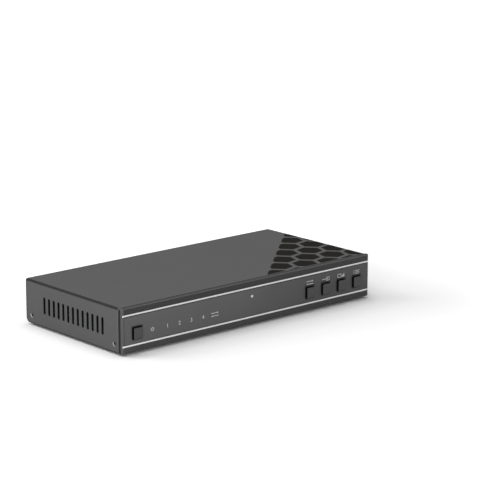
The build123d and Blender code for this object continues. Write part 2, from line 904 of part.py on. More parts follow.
pad_bottom_z = board_top_z + main_chip_height
sink_bottom_z = pad_bottom_z + pad_thickness
with BuildPart() as thermal_pad:
    with BuildSketch(Plane.XY.offset(pad_bottom_z)):
        with Locations((main_chip_x, main_chip_y)):
            Rectangle(pad_size, pad_size)
    extrude(amount=pad_thickness)
keep(thermal_pad, "thermal_pad")

fin_pitch = (sink_size - sink_fin_width) / (sink_fin_count - 1)
with BuildPart() as heat_sink:
    with BuildSketch(upright(main_chip_y - sink_size / 2)):
        with Locations((main_chip_x, sink_bottom_z)):
            Rectangle(sink_size, sink_base, align=(Align.CENTER, Align.MIN))
            with GridLocations(fin_pitch, fin_pitch, sink_fin_count, 1):
                Rectangle(
                    sink_fin_width, sink_base + sink_fin_height, align=(Align.CENTER, Align.MIN)
                )
    extrude(amount=-sink_size)
keep(heat_sink, "heat_sink")

# Control chip
with BuildPart() as control_chip:
    with Locations((control_chip_x, control_chip_y, board_top_z)):
        add(make_chip(control_chip_size, control_chip_height))
keep(control_chip, "control_chip")

# Buffer chips, one ahead of each video socket
buffer_y = video_back_y - buffer_chip_gap - buffer_chip_size / 2
with BuildPart() as buffer_chips:
    with Locations(*[(x, buffer_y, board_top_z) for x in video_xs]):
        add(make_chip(buffer_chip_size, buffer_chip_height))
keep(buffer_chips, "buffer_chips")

# Power capacitors: upright cans with a crimp round the foot
with BuildPart() as capacitor:
    with BuildSketch(Plane.XY):
        Circle(can_radius)
    extrude(amount=can_height)
    chamfer(capacitor.edges().group_by(Axis.Z)[-1], length=can_edge_bevel)
    with BuildSketch(Plane.XZ):
        with Locations((can_radius, can_crimp_height)):
            Rectangle(2 * can_crimp_depth, 2 * can_crimp_depth, rotation=45)
    revolve(axis=Axis.Z, mode=Mode.SUBTRACT)
with BuildPart() as power_capacitors:
    with Locations((can_x, can_y, board_top_z)):
        with GridLocations(can_pitch, can_pitch, 1, can_count):
            add(capacitor.part)
keep(power_capacitors, "power_capacitors")

# Power inductor: a shielded square coil with cut corners
with BuildPart() as power_inductor:
    with BuildSketch(Plane.XY.offset(board_top_z)) as coil_outline:
        with Locations((coil_x, coil_y)):
            Rectangle(coil_size, coil_size)
        chamfer(coil_outline.vertices(), length=coil_corner_chamfer)
    extrude(amount=coil_height)
    with BuildSketch(Plane.XY.offset(board_top_z + coil_height)):
        with Locations((coil_x, coil_y)):
            Circle(coil_cap_radius)
    extrude(amount=coil_cap_height)
keep(power_inductor, "power_inductor")

# Clock crystal: a metal can on a rim
with BuildPart() as clock_crystal:
    with BuildSketch(Plane.XY.offset(board_top_z)):
        with Locations((crystal_x, crystal_y)):
            SlotOverall(crystal_length, crystal_width)
    extrude(amount=crystal_rim_height)
    with BuildSketch(Plane.XY.offset(board_top_z)):
        with Locations((crystal_x, crystal_y)):
            SlotOverall(crystal_length - 2 * crystal_rim, crystal_width - 2 * crystal_rim)
    extrude(amount=crystal_height)
keep(clock_crystal, "clock_crystal")

os.makedirs("parts", exist_ok=True)
for node, piece in parts.items():
    export_step(piece, f"parts/{node}.step")
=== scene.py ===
import math

import bmesh
import bpy
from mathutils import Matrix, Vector


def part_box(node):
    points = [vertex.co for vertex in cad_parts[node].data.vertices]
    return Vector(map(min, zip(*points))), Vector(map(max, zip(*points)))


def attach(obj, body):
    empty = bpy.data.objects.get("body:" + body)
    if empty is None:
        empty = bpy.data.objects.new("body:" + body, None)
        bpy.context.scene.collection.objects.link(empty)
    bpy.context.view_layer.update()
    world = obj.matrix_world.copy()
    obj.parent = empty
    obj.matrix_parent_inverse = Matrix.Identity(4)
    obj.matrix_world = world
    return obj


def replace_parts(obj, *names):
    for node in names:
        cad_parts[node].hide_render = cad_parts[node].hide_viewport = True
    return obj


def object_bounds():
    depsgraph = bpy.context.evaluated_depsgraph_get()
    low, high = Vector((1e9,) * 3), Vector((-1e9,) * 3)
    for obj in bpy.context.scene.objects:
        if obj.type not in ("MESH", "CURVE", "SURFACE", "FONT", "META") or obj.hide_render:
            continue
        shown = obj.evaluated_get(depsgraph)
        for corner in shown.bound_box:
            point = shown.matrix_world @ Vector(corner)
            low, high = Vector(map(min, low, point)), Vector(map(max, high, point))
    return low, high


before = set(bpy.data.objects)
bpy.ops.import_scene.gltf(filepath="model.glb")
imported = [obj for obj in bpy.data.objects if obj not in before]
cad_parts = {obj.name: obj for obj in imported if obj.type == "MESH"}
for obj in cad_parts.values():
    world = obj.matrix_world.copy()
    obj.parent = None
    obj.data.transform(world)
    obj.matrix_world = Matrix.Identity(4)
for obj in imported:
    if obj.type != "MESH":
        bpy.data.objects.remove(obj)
cad_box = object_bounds()
mm = 0.001

# Chassis: a tray bent from one millimetre steel sheet, punched for the sockets and keys, with a low
# flange up each side. It is coated in a fine-grained black powder, baked on, that pebbles a little.


class Signal:
    """A socket in a material's nodes. Sums on it add Math nodes, and node() adds any other kind."""

    def __init__(self, tree, socket=None):
        self.tree = tree
        self.socket = socket

    def node(self, kind, settings=None, inputs=None, output=0):
        made = self.tree.nodes.new(kind)
        for name, value in (settings or {}).items():
            setattr(made, name, value)
        for name, value in (inputs or {}).items():
            if isinstance(value, Signal):
                self.tree.links.new(value.socket, made.inputs[name])
            else:
                made.inputs[name].default_value = value
        return Signal(self.tree, made.outputs[output])

    def maths(self, operation, first, second):
        return self.node("ShaderNodeMath", {"operation": operation}, {0: first, 1: second})

    def __add__(self, other):
        return self.maths("ADD", self, other)

    def __sub__(self, other):
        return self.maths("SUBTRACT", self, other)

    def __rsub__(self, other):
        return self.maths("SUBTRACT", other, self)

    def __mul__(self, other):
        return self.maths("MULTIPLY", self, other)

    def __mod__(self, other):
        return self.maths("FLOORED_MODULO", self, other)

    def __gt__(self, other):
        return self.maths("GREATER_THAN", self, other)

    def __lt__(self, other):
        return self.maths("LESS_THAN", self, other)

    def __abs__(self):
        return self.node("ShaderNodeMath", {"operation": "ABSOLUTE"}, {0: self})

    __radd__ = __add__
    __rmul__ = __mul__

    def axis(self, name):
        return self.node("ShaderNodeSeparateXYZ", inputs={"Vector": self}, output=name)

    def clamped(self):
        return self.node("ShaderNodeClamp", inputs={"Value": self})

    def ramp(self, start, end):
        """0 up to one length and 1 from another on, and even between them."""
        ends = {"Value": self, "From Min": start, "From Max": end}
        return self.node("ShaderNodeMapRange", inputs=ends)

    def between(self, low, high, soft=0.02 * mm):
        """1 between two lengths and 0 outside them, with an edge as soft as given."""
        return self.ramp(low - soft, low + soft) * self.ramp(high + soft, high - soft)

    def noise(self, lumps, detail=2, stretch=(1, 1, 1)):
        """Smooth noise from 0 to 1, of this many lumps to the metre along an unstretched axis."""
        laid = self.node("ShaderNodeMapping", inputs={"Vector": self, "Scale": stretch})
        inputs = {"Vector": laid, "Scale": lumps, "Detail": detail}
        return laid.node("ShaderNodeTexNoise", inputs=inputs)

    def cells(self, lumps, output="Distance"):
        """Cells of uneven shape: how far off their middles are, or a random colour for each."""
        inputs = {"Vector": self, "Scale": lumps}
        return self.node("ShaderNodeTexVoronoi", inputs=inputs, output=output)

    def blend(self, low, high):
        """A colour that goes from low to high as this number goes from 0 to 1."""
        return self.node("ShaderNodeMix", {"data_type": "RGBA"}, {0: self, 6: low, 7: high}, 2)


def new_finish(name, constants):
    """A material, its shader with constants on its sockets, and its Object coordinates."""
    material = bpy.data.materials.new(name)
    material.use_nodes = True
    tree = material.node_tree
    shader = tree.nodes["Principled BSDF"]
    for socket, value in constants.items():
        shader.inputs[socket].default_value = value
    return material, shader, Signal(tree).node("ShaderNodeTexCoord", output="Object")


def feed(shader, socket, signal):
    signal.tree.links.new(signal.socket, shader.inputs[socket])


def emboss(shader, height, depth):
    """Raise the surface by a height signal from 0 to 1, times a depth in metres."""
    inputs = {"Height": height, "Distance": depth}
    feed(shader, "Normal", height.node("ShaderNodeBump", inputs=inputs))


def shade(value, tint=(1.0, 1.0, 1.0)):
    """A grey of this linear value, or a tinted one."""
    return (value * tint[0], value * tint[1], value * tint[2], 1.0)


grey_tint = (1.0, 0.997, 1.0)
unevenness = 0.14
painted_shade_tone = shade(0.012)
painted_highlight_gain = 1.5


def powder_coat(name, value, painted_light_zones=None):
    """Baked powder, finely pebbled, with shade and a highlight painted on where the given zones
    say.
    """
    material, shader, place = new_finish(name, {"Specular IOR Level": 0.12})
    pebble = place.noise(lumps=1500, detail=3)
    cloud = place.noise(lumps=28, detail=3)
    speck = place.noise(lumps=5200, detail=1)
    tone = cloud * 0.5 + pebble * 0.3 + speck * 0.2
    dark, light = value * (1 - unevenness), value * (1 + unevenness)
    skin = tone.blend(shade(dark, grey_tint), shade(light, grey_tint))
    # Painted shade darkens the skin, and a painted highlight lightens it, where the zones say.
    if painted_light_zones:
        painted_shade, painted_highlight = painted_light_zones(place)
        skin = painted_highlight.blend(painted_shade.blend(skin, painted_shade_tone), shade(value * painted_highlight_gain, grey_tint))
    feed(shader, "Base Color", skin)
    feed(shader, "Roughness", 0.44 + cloud * 0.08 + pebble * 0.12)
    emboss(shader, pebble * 0.7 + speck * 0.3, 0.03 * mm)
    return material


def paint(material, *nodes):
    """Put a finish on carried-over pieces."""
    for node in nodes:
        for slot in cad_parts[node].material_slots:
            slot.material = material


chassis_grey = 0.036
paint(powder_coat("chassis_powder_coat", chassis_grey), "bottom_chassis")

# Rubber feet: four moulded discs stuck under the corners. Each has a rounded rim round a shallow
# dished middle, where the moulding pin pressed, and a dull skin that picks up dust.


def only(piece):
    """Select one piece and make it active, so that the next operator acts on it alone."""
    bpy.ops.object.select_all(action="DESELECT")
    piece.select_set(True)
    bpy.context.view_layer.objects.active = piece


def added(name):
    """Name the primitive that was just added, with nothing else selected."""
    piece = bpy.context.active_object
    piece.name = name
    piece.data.name = name
    only(piece)
    return piece


straight_on = 0.9


def pick_faces(piece, wanted):
    """In edit mode, select the faces whose centre and normal pass a test."""
    bpy.ops.mesh.select_mode(type="FACE")
    bpy.ops.mesh.select_all(action="DESELECT")
    shape = bmesh.from_edit_mesh(piece.data)
    for face in shape.faces:
        face.select_set(wanted(face.calc_center_median(), face.normal))
    bmesh.update_edit_mesh(piece.data)


def soften(piece, width, segments=2, angle=35.0):
    """Round the sharp edges, then shade smooth between them."""
    only(piece)
    bevel = piece.modifiers.new("rounded_edges", "BEVEL")
    bevel.width = width
    bevel.segments = segments
    bevel.limit_method = "ANGLE"
    bevel.angle_limit = math.radians(angle)
    bpy.ops.object.modifier_apply(modifier=bevel.name)
    bpy.ops.object.shade_smooth_by_angle(angle=math.radians(angle))


def settle(piece):
    """Put a piece's place and turn into its mesh, with every face pointing outwards."""
    only(piece)
    bpy.ops.object.transform_apply(location=True, rotation=True, scale=True)
    bpy.ops.object.mode_set(mode="EDIT")
    bpy.ops.mesh.select_all(action="SELECT")
    bpy.ops.mesh.normals_make_consistent(inside=False)
    bpy.ops.object.mode_set(mode="OBJECT")


def copied(piece, name, place, turn=(0.0, 0.0, 0.0)):
    """A copy with its own mesh, at a place of its own."""
    twin = piece.copy()
    twin.data = piece.data.copy()
    twin.name = name
    twin.data.name = name
    bpy.context.collection.objects.link(twin)
    twin.location = place
    twin.rotation_euler = turn
    settle(twin)
    return twin


def joined(name, pieces):
    """Several meshes as one piece."""
    only(pieces[0])
    for piece in pieces:
        piece.select_set(True)
    bpy.ops.object.join()
    return added(name)


def finished(piece, body, material):
    """Dress a new piece, and let it ride on its body."""
    piece.data.materials.clear()
    piece.data.materials.append(material)
    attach(piece, body)
    return piece


clean_rubber = shade(0.010)
dusty_rubber = shade(0.030)


def moulded_rubber():
    material, shader, place = new_finish("moulded_rubber", {"Specular IOR Level": 0.3})
    grain = place.noise(lumps=3600, detail=3)
    dust = place.noise(lumps=420, detail=4)
    feed(shader, "Base Color", (dust * 0.7 + grain * 0.3).blend(clean_rubber, dusty_rubber))
    feed(shader, "Roughness", 0.72 + dust * 0.2)
    emboss(shader, grain, 0.05 * mm)
    return material


feet_low, feet_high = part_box("rubber_feet")
foot_height = feet_high.z - feet_low.z
foot_radius = 5.0 * mm
foot_rim = 1.3 * mm
dish_depth = 0.35 * mm
foot_rounding = 0.22 * mm
bpy.ops.object.select_all(action="DESELECT")
bpy.ops.mesh.primitive_cylinder_add(
    vertices=64, radius=foot_radius, depth=foot_height, location=(0, 0, foot_height / 2)
)
foot_pattern = added("foot_pattern")
bpy.ops.object.transform_apply(location=True)
bpy.ops.object.mode_set(mode="EDIT")
pick_faces(foot_pattern, lambda centre, normal: normal.z < -straight_on)
bpy.ops.mesh.inset(thickness=foot_rim)
bpy.ops.mesh.inset(thickness=dish_depth, depth=-dish_depth)
bpy.ops.object.mode_set(mode="OBJECT")
soften(foot_pattern, foot_rounding, segments=3)
rubber = moulded_rubber()
for side, x in (("left", feet_low.x + foot_radius), ("right", feet_high.x - foot_radius)):
    for end, y in (("front", feet_low.y + foot_radius), ("rear", feet_high.y - foot_radius)):
        foot = copied(foot_pattern, f"rubber_foot_{end}_{side}", (x, y, 0))
        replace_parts(finished(foot, "enclosure", rubber), "rubber_feet")
bpy.data.objects.remove(foot_pattern)

# Insulation sheet: thin black polyester film laid on the tray's floor under the main board, die cut
# round the standoffs. It has the faint crinkle and gloss of film off a roll.

deep_polyester = shade(0.010)
pale_polyester = shade(0.022)


def rolled_film():
    material, shader, place = new_finish("insulating_polyester", {"Specular IOR Level": 0.5})
    crinkle = place.noise(lumps=90, detail=4, stretch=(1.0, 0.4, 1.0))
    feed(shader, "Base Color", crinkle.blend(deep_polyester, pale_polyester))
    feed(shader, "Roughness", 0.22 + crinkle * 0.2)
    emboss(shader, crinkle, 0.2 * mm)
    return material


paint(rolled_film(), "insulation_sheet")

# Standoffs: hexagon brass spacers pressed into the tray's floor and front wall. The bar is drawn
# lengthways and turned at its ends, then left to go a little brown.

clean_brass = (0.70, 0.55, 0.27, 1.0)
brown_brass = (0.50, 0.34, 0.14, 1.0)


def drawn_brass():
    material, shader, place = new_finish("drawn_brass", {"Metallic": 1.0})
    line = place.noise(lumps=700, detail=3, stretch=(6.0, 0.6, 0.6))
    tarnish = place.noise(lumps=260, detail=3)
    feed(shader, "Base Color", tarnish.blend(brown_brass, clean_brass))
    feed(shader, "Roughness", 0.26 + line * 0.16)
    emboss(shader, line, 0.02 * mm)
    return material


paint(drawn_brass(), "board_standoffs", "front_standoffs")

# Boards: glass laminate with copper tracks under a green solder mask. The main board lies over the
# tray's floor and the front board stands behind the panel. The mask rises over the tracks.

mask_on_glass = (0.006, 0.040, 0.018, 1.0)
mask_on_copper = (0.014, 0.110, 0.045, 1.0)
tinned_pad = (0.55, 0.52, 0.44, 1.0)
track_pitch = 1.6 * mm
track_edges = (0.3 * mm, 0.9 * mm)
track_soft = 0.05 * mm
block_share = 0.5
pour_above = 0.56
pad_reach = 0.07


def solder_mask(name, across, along):
    """Green mask over tracks that run along one axis in blocks, across the other between them."""
    material, shader, place = new_finish(name, {"Specular IOR Level": 0.5})
    block = place.cells(lumps=95, output="Color").axis("X") > block_share
    straight = (place.axis(along) % track_pitch).between(*track_edges, track_soft)
    cross = (place.axis(across) % track_pitch).between(*track_edges, track_soft)
    track = straight * block + cross * (1.0 - block)
    copper = (track + (place.noise(lumps=40, detail=1) > pour_above)).clamped()
    hole = place.cells(lumps=330) < pad_reach
    feed(shader, "Base Color", hole.blend(copper.blend(mask_on_glass, mask_on_copper), tinned_pad))
    feed(shader, "Metallic", hole * 0.9)
    feed(shader, "Roughness", 0.24 + place.noise(lumps=600) * 0.16)
    emboss(shader, copper, 0.035 * mm)
    return material


paint(solder_mask("main_board_mask", "X", "Y"), "main_board")
paint(solder_mask("front_board_mask", "X", "Z"), "front_board")

# Board screws and panel screws: small zinc-plated machine screws. The plating is bright, with a
# faint cloud of blue and yellow over it, and the heads are turned.

blue_zinc = (0.46, 0.48, 0.52, 1.0)
yellow_zinc = (0.66, 0.64, 0.58, 1.0)


def zinc_plate():
    material, shader, place = new_finish("zinc_plate", {"Metallic": 1.0})
    cloud = place.noise(lumps=330, detail=3)
    ring = place.noise(lumps=2400, detail=2)
    feed(shader, "Base Color", cloud.blend(blue_zinc, yellow_zinc))
    feed(shader, "Roughness", 0.22 + ring * 0.18)
    emboss(shader, ring, 0.015 * mm)
    return material


paint(zinc_plate(), "board_screws", "panel_screws")

# Chips: black epoxy packages soldered to the main board. The moulded face is matt with a fine
# spark-eroded texture, under a thin and uneven dust of flux.

clean_epoxy = shade(0.012)
dusty_epoxy = shade(0.034)


def moulded_epoxy():
    material, shader, place = new_finish("moulded_epoxy", {"Specular IOR Level": 0.4})
    spark = place.noise(lumps=4200, detail=2)
    flux = place.noise(lumps=520, detail=4)
    feed(shader, "Base Color", (flux * 0.6 + spark * 0.4).blend(clean_epoxy, dusty_epoxy))
    feed(shader, "Roughness", 0.5 + spark * 0.2)
    emboss(shader, spark, 0.03 * mm)
    return material


paint(moulded_epoxy(), "main_chip", "control_chip", "buffer_chips")

# Heat sink and its pad: an extruded aluminium comb, pressed on the main chip through a soft
# blue-grey silicone pad. The extrusion has die lines along its fins, under a grey anodised skin.

dark_silicone = (0.20, 0.26, 0.33, 1.0)
pale_silicone = (0.34, 0.41, 0.48, 1.0)
deep_anodising = shade(0.24)
pale_anodising = shade(0.34, (0.98, 1.0, 1.02))


def silicone_pad():
    material, shader, place = new_finish("silicone_pad", {"Specular IOR Level": 0.35})
    filler = place.noise(lumps=2600, detail=2)
    feed(shader, "Base Color", filler.blend(dark_silicone, pale_silicone))
    feed(shader, "Roughness", 0.62 + filler * 0.2)
    emboss(shader, filler, 0.04 * mm)
    return material


def extruded_aluminium():
    material, shader, place = new_finish("extruded_aluminium", {"Metallic": 1.0})
    die_line = place.noise(lumps=900, detail=4, stretch=(1.0, 0.02, 1.0))
    bloom = place.noise(lumps=140, detail=2)
    feed(shader, "Base Color", bloom.blend(deep_anodising, pale_anodising))
    feed(shader, "Roughness", 0.34 + die_line * 0.2)
    emboss(shader, die_line, 0.03 * mm)
    return material


paint(silicone_pad(), "thermal_pad")
paint(extruded_aluminium(), "heat_sink")

# Power parts: three capacitor cans in drawn aluminium, a shielded ferrite coil and a crystal in a
# pressed steel can, all standing on the main board beside the power inlet.

ferrite_pore = shade(0.030)
ferrite_grain = shade(0.075)
pressed_steel = shade(0.66, (1.0, 0.99, 0.96))


def drawn_can(name, light, dark):
    material, shader, place = new_finish(name, {"Metallic": 1.0})
    draw = place.noise(lumps=1200, detail=3, stretch=(1.0, 1.0, 0.05))
    feed(shader, "Base Color", draw.blend(dark, light))
    feed(shader, "Roughness", 0.26 + draw * 0.18)
    emboss(shader, draw, 0.015 * mm)
    return material


def sintered_ferrite():
    material, shader, place = new_finish("sintered_ferrite", {"Specular IOR Level": 0.45})
    grain = place.cells(lumps=3000)
    feed(shader, "Base Color", grain.blend(ferrite_pore, ferrite_grain))
    feed(shader, "Roughness", 0.5 + grain * 0.3)
    emboss(shader, grain, 0.04 * mm)
    return material


paint(drawn_can("capacitor_can", light=shade(0.62), dark=shade(0.42)), "power_capacitors")
paint(drawn_can("crystal_can", light=pressed_steel, dark=shade(0.5)), "clock_crystal")
paint(sintered_ferrite(), "power_inductor")

# Link between the boards: a row of square tinned pins bent through a black moulded header, so that
# the front board can be soldered upright before the boards go in.


def moulded_nylon(name, value):
    material, shader, place = new_finish(name, {"Specular IOR Level": 0.45})
    flow = place.noise(lumps=180, detail=3, stretch=(1.0, 3.0, 1.0))
    spark = place.noise(lumps=3800, detail=2)
    feed(shader, "Base Color", flow.blend(shade(value * 0.75), shade(value * 1.35)))
    feed(shader, "Roughness", 0.42 + spark * 0.16 + flow * 0.08)
    emboss(shader, spark, 0.02 * mm)
    return material


def bright_plate(name, dull, bright, rough):
    """Plated contact metal: soft mirror with fine rolling lines."""
    material, shader, place = new_finish(name, {"Metallic": 1.0})
    roll = place.noise(lumps=1500, detail=3, stretch=(1.0, 0.15, 1.0))
    feed(shader, "Base Color", roll.blend(dull, bright))
    feed(shader, "Roughness", rough + roll * 0.14)
    emboss(shader, roll, 0.012 * mm)
    return material


bright_tin = shade(0.76, (1.0, 0.98, 0.94))
header_nylon = moulded_nylon("header_nylon", value=0.016)
tinned_pin = bright_plate("tinned_pin", dull=shade(0.60), bright=bright_tin, rough=0.18)
paint(header_nylon, "link_header")
paint(tinned_pin, "link_pins", "inlet_pin")

# Video sockets: each is a shell folded from thin nickel-plated strip round a black contact block.
# Two sprung leaves in its roof and two in its floor grip the plug, and gold contacts lie on the
# tongue, ten above and nine below.

video_nodes = ["video_output"] + [f"video_input_{number}" for number in range(1, 5)]
bright_nickel = shade(0.64, (1.0, 0.985, 0.96))
nickel = bright_plate("nickel_strip", dull=shade(0.50), bright=bright_nickel, rough=0.24)
deep_gold = (0.78, 0.52, 0.18, 1.0)
pale_gold = (0.90, 0.66, 0.28, 1.0)
gold = bright_plate("gold_contact", dull=deep_gold, bright=pale_gold, rough=0.16)
paint(nickel, *video_nodes)
paint(moulded_nylon("contact_block_nylon", value=0.011), "contact_blocks")

shell_wall = 0.4 * mm
tongue_thickness = 1.2 * mm
tongue_recess = 1.0 * mm
contact_width = 0.42 * mm
contact_pitch = 1.0 * mm
contact_length = 6.5 * mm
contact_setback = 0.6 * mm
contact_proud = 0.05 * mm
contact_rounding = 0.03 * mm
leaf_width = 1.7 * mm
leaf_sheet = 0.2 * mm
leaf_root = 0.6 * mm
leaf_inset = 7.4 * mm
leaf_rounding = 0.06 * mm
leaf_steps = ((2.6 * mm, 0.55 * mm), (1.6 * mm, 0.0), (1.4 * mm, -0.4 * mm))
roof_leaf_spread = 3.6 * mm
floor_leaf_spread = 2.6 * mm


def contact_row(name, count, middle, tongue_y, z):
    """One row of gold strips along the tongue, made once and repeated across it."""
    bpy.ops.mesh.primitive_cube_add(size=1, location=(0, 0, 0))
    row = added(name)
    row.scale = (contact_width, contact_length, 2 * contact_proud)
    first_x = middle - contact_pitch * (count - 1) / 2
    row.location = (first_x, tongue_y - contact_setback - contact_length / 2, z)
    bpy.ops.object.transform_apply(location=True, scale=True)
    repeat = row.modifiers.new("repeat", "ARRAY")
    repeat.count = count
    repeat.use_relative_offset = False
    repeat.use_constant_offset = True
    repeat.constant_offset_displace = (contact_pitch, 0, 0)
    bpy.ops.object.modifier_apply(modifier=repeat.name)
    return row


def grip_leaf(name, x, mouth_y, wall_z, inward):
    """A sprung leaf that leaves the shell's wall, bears on the plug and lifts again at its tip."""
    bpy.ops.mesh.primitive_cube_add(size=1, location=(0, 0, 0))
    leaf = added(name)
    leaf.scale = (leaf_width, leaf_root, leaf_sheet)
    leaf.location = (x, mouth_y - leaf_inset, wall_z + inward * leaf_sheet / 2)
    bpy.ops.object.transform_apply(location=True, scale=True)
    bpy.ops.object.mode_set(mode="EDIT")
    pick_faces(leaf, lambda centre, normal: normal.y > straight_on)
    for run, drop in leaf_steps:
        step = {"value": (0, run, inward * drop)}
        bpy.ops.mesh.extrude_region_move(TRANSFORM_OT_translate=step)
    bpy.ops.object.mode_set(mode="OBJECT")
    soften(leaf, leaf_rounding, angle=20.0)
    return leaf


for node in video_nodes:
    shell_low, shell_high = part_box(node)
    socket_x = (shell_low.x + shell_high.x) / 2
    socket_z = (shell_low.z + shell_high.z) / 2
    mouth_y = shell_high.y
    tongue_y = mouth_y - tongue_recess
    upper = contact_row("upper_row", 10, socket_x, tongue_y, socket_z + tongue_thickness / 2)
    lower = contact_row("lower_row", 9, socket_x, tongue_y, socket_z - tongue_thickness / 2)
    strips = joined(f"{node}_contacts", [upper, lower])
    soften(strips, contact_rounding, segments=1)
    finished(strips, "enclosure", gold)
    leaves = []
    for wall_z, inward, spread in (
        (shell_high.z - shell_wall, -1, roof_leaf_spread),
        (shell_low.z + shell_wall, 1, floor_leaf_spread),
    ):
        for side in (-1, 1):
            leaves.append(grip_leaf("grip_leaf", socket_x + side * spread, mouth_y, wall_z, inward))
    springs = joined(f"{node}_leaves", leaves)
    settle(springs)
    finished(springs, "enclosure", nickel)

# Power inlet: a black moulded block behind the rear wall with a round nose through it and a plated
# centre pin. A bent leaf in the floor of the bore presses on the side of the plug.

paint(moulded_nylon("inlet_nylon", value=0.013), "power_inlet")
pin_low, pin_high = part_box("inlet_pin")
inlet_x = (pin_low.x + pin_high.x) / 2
inlet_z = (pin_low.z + pin_high.z) / 2
inlet_mouth_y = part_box("power_inlet")[1].y
inlet_bore_radius = 3.15 * mm
side_leaf_clear = 0.1 * mm
side_leaf_z = inlet_z - inlet_bore_radius + side_leaf_clear
side_leaf = grip_leaf("inlet_side_leaf", inlet_x, inlet_mouth_y, side_leaf_z, inward=1)
settle(side_leaf)
finished(side_leaf, "enclosure", tinned_pin)

# Audio socket: a black moulded jack whose round nose comes through the rear wall. A plated sleeve
# lines its bore and shows as a bright ring round the mouth.

sleeve_radius = 2.3 * mm
sleeve_length = 12.5 * mm
jack_black = shade(0.013)
sleeve_metal = shade(0.66, (1.0, 0.98, 0.95))


def far_out(across, up):
    """How far a point is from an axis, from its two distances across that axis."""
    square = across * across + up * up
    return square.node("ShaderNodeMath", {"operation": "SQRT"}, {0: square})


def jack_body():
    material, shader, place = new_finish("jack_body", {"Specular IOR Level": 0.45})
    low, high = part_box("audio_socket")
    across = place.axis("X") - (low.x + high.x) / 2
    up = place.axis("Z") - (low.z + high.z) / 2
    ring = (far_out(across, up) < sleeve_radius) * (place.axis("Y") > high.y - sleeve_length)
    spark = place.noise(lumps=3800, detail=2)
    feed(shader, "Base Color", ring.blend(jack_black, sleeve_metal))
    feed(shader, "Metallic", ring)
    feed(shader, "Roughness", 0.46 + spark * 0.14 - ring * 0.24)
    emboss(shader, spark, 0.02 * mm)
    return material


paint(jack_body(), "audio_socket")

# Push switches: black moulded bodies on the front board, each with a pale round plunger that
# springs the key cap out. The plunger is acetal, with the faint flow lines of its mould.

paint(moulded_nylon("switch_nylon", value=0.022), "switch_bodies")
deep_acetal = shade(0.495)
pale_acetal = shade(0.594, (1.0, 0.99, 0.96))


def moulded_acetal():
    material, shader, place = new_finish("plunger_acetal", {"Specular IOR Level": 0.5})
    flow = place.noise(lumps=420, detail=3)
    feed(shader, "Base Color", flow.blend(deep_acetal, pale_acetal))
    feed(shader, "Roughness", 0.34 + flow * 0.14)
    emboss(shader, flow, 0.02 * mm)
    return material


plungers = ["power_plunger"] + [f"function_plunger_{number}" for number in range(1, 5)]
paint(moulded_acetal(), *plungers)

# Lamps and light guides: a small resin lamp on the front board behind each mark, and a clear
# acrylic rod with a square collar that carries its light to the back of the printed film.

deep_phosphor = (0.62, 0.56, 0.22, 1.0)
pale_phosphor = (0.80, 0.76, 0.42, 1.0)
cool_acrylic = shade(0.80, (0.98, 1.0, 1.0))
pure_acrylic = shade(0.92)


def lamp_resin():
    constants = {"Specular IOR Level": 0.5, "Roughness": 0.3}
    material, shader, place = new_finish("lamp_resin", constants)
    phosphor = place.noise(lumps=2600, detail=2)
    feed(shader, "Base Color", phosphor.blend(deep_phosphor, pale_phosphor))
    emboss(shader, phosphor, 0.02 * mm)
    return material


def clear_acrylic():
    constants = {"Transmission Weight": 0.85, "IOR": 1.49}
    material, shader, place = new_finish("clear_acrylic", constants)
    flow = place.noise(lumps=300, detail=2)
    feed(shader, "Base Color", flow.blend(cool_acrylic, pure_acrylic))
    feed(shader, "Roughness", 0.06 + flow * 0.08)
    return material


paint(lamp_resin(), "indicator_lamps")
paint(clear_acrylic(), "light_guides")

# Remote receiver: a black resin block with a domed front that passes infra-red, soldered to the
# front board behind its lens.

deep_resin = (0.010, 0.006, 0.010, 1.0)
thin_resin = (0.026, 0.014, 0.022, 1.0)


def dark_resin():
    constants = {"Specular IOR Level": 0.55, "Coat Weight": 0.4}
    material, shader, place = new_finish("dark_resin", constants)
    flow = place.noise(lumps=500, detail=2)
    feed(shader, "Base Color", flow.blend(deep_resin, thin_resin))
    feed(shader, "Roughness", 0.16 + flow * 0.12)
    emboss(shader, flow, 0.02 * mm)
    return material


paint(dark_resin(), "remote_receiver")

# Front panel: a four millimetre aluminium plate, brushed along its length and anodised dark grey.
# A diamond tool then cuts the two facets beside the raised pad, which stay bright. Painted
# highlights lie on its ends, its top front edge and a thin strip below the low facet, and painted
# light makes its low band paler. Painted shade darkens the rear of the plate, by the joint.

panel_low, panel_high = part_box("front_panel")
film_low, film_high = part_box("front_film")
panel_middle_z = (panel_low.z + panel_high.z) / 2
pad_half_height = 9.6 * mm
facet_height = 0.9 * mm
painted_highlight_strip = 0.3 * mm
facet_depth = 0.405 * mm
facet_back_y = panel_low.y + facet_depth
seam_reach = 2.0 * mm
edge_reach = 0.6 * mm
deep_anodised = shade(0.030)
pale_anodised = shade(0.046)
cut_and_painted_highlight = shade(0.93)
top_edge_painted_highlight = shade(0.11)
end_painted_highlight = shade(0.086)
low_band_painted_light = shade(0.058)
joint_painted_shade = shade(0.004)


